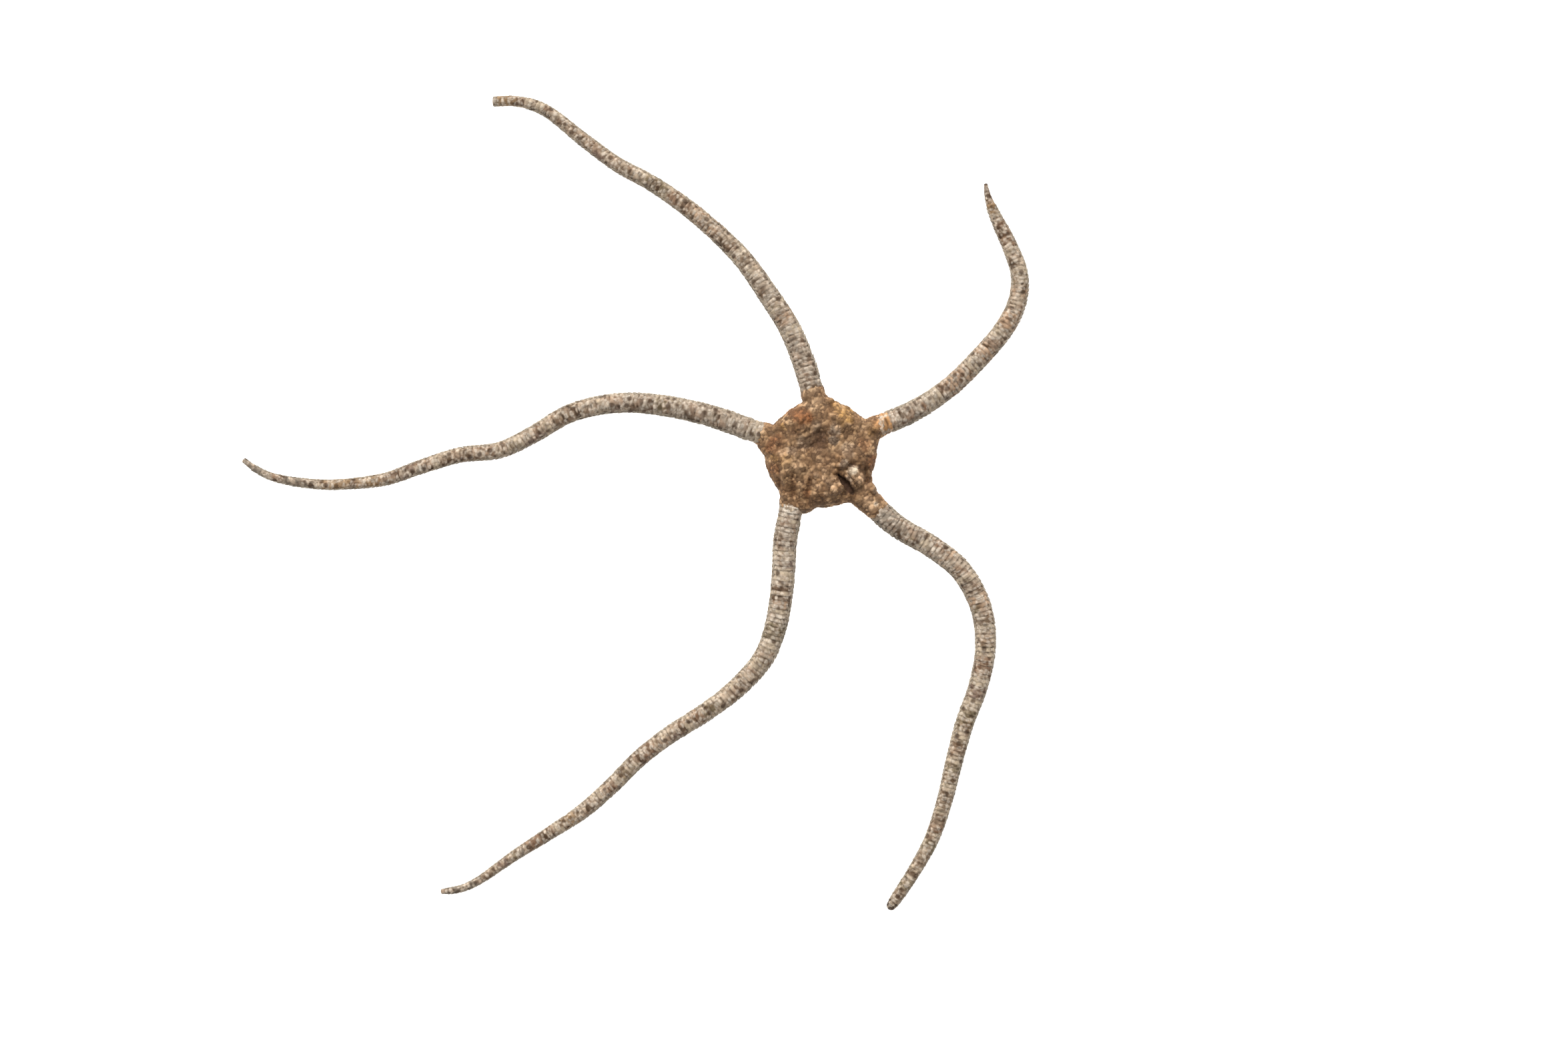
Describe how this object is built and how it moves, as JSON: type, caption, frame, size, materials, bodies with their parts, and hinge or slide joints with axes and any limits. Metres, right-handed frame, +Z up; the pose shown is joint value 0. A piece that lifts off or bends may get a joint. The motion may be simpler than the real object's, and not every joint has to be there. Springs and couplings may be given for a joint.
{
  "type": "dried brittle star",
  "caption": "Dried brittle star with a small round lumpy disc and long thin ringed arms that curve outwards and taper.",
  "frame": {"origin": "under the middle of the disc, on the surface that the star rests on", "axes": "+Z up, away from the underside; +Y along the longer spread, towards the arm that leaves the disc upwards in the picture; +X to the picture's right"},
  "size_m": [0.1413, 0.1467, 0.0053],
  "materials": {
    "disc_skin": "matt granular dried skin, warm brown with rust and ochre patches",
    "arm_plates": "matt chalky plates, cream and beige with irregular brown bands"
  },
  "bodies": {
    "root": {"disc": "disc_skin", "arm_right": "arm_plates", "arm_top": "arm_plates", "arm_left": "arm_plates", "arm_lower": "arm_plates", "arm_lower_right": "arm_plates"}
  },
  "joints": []
}
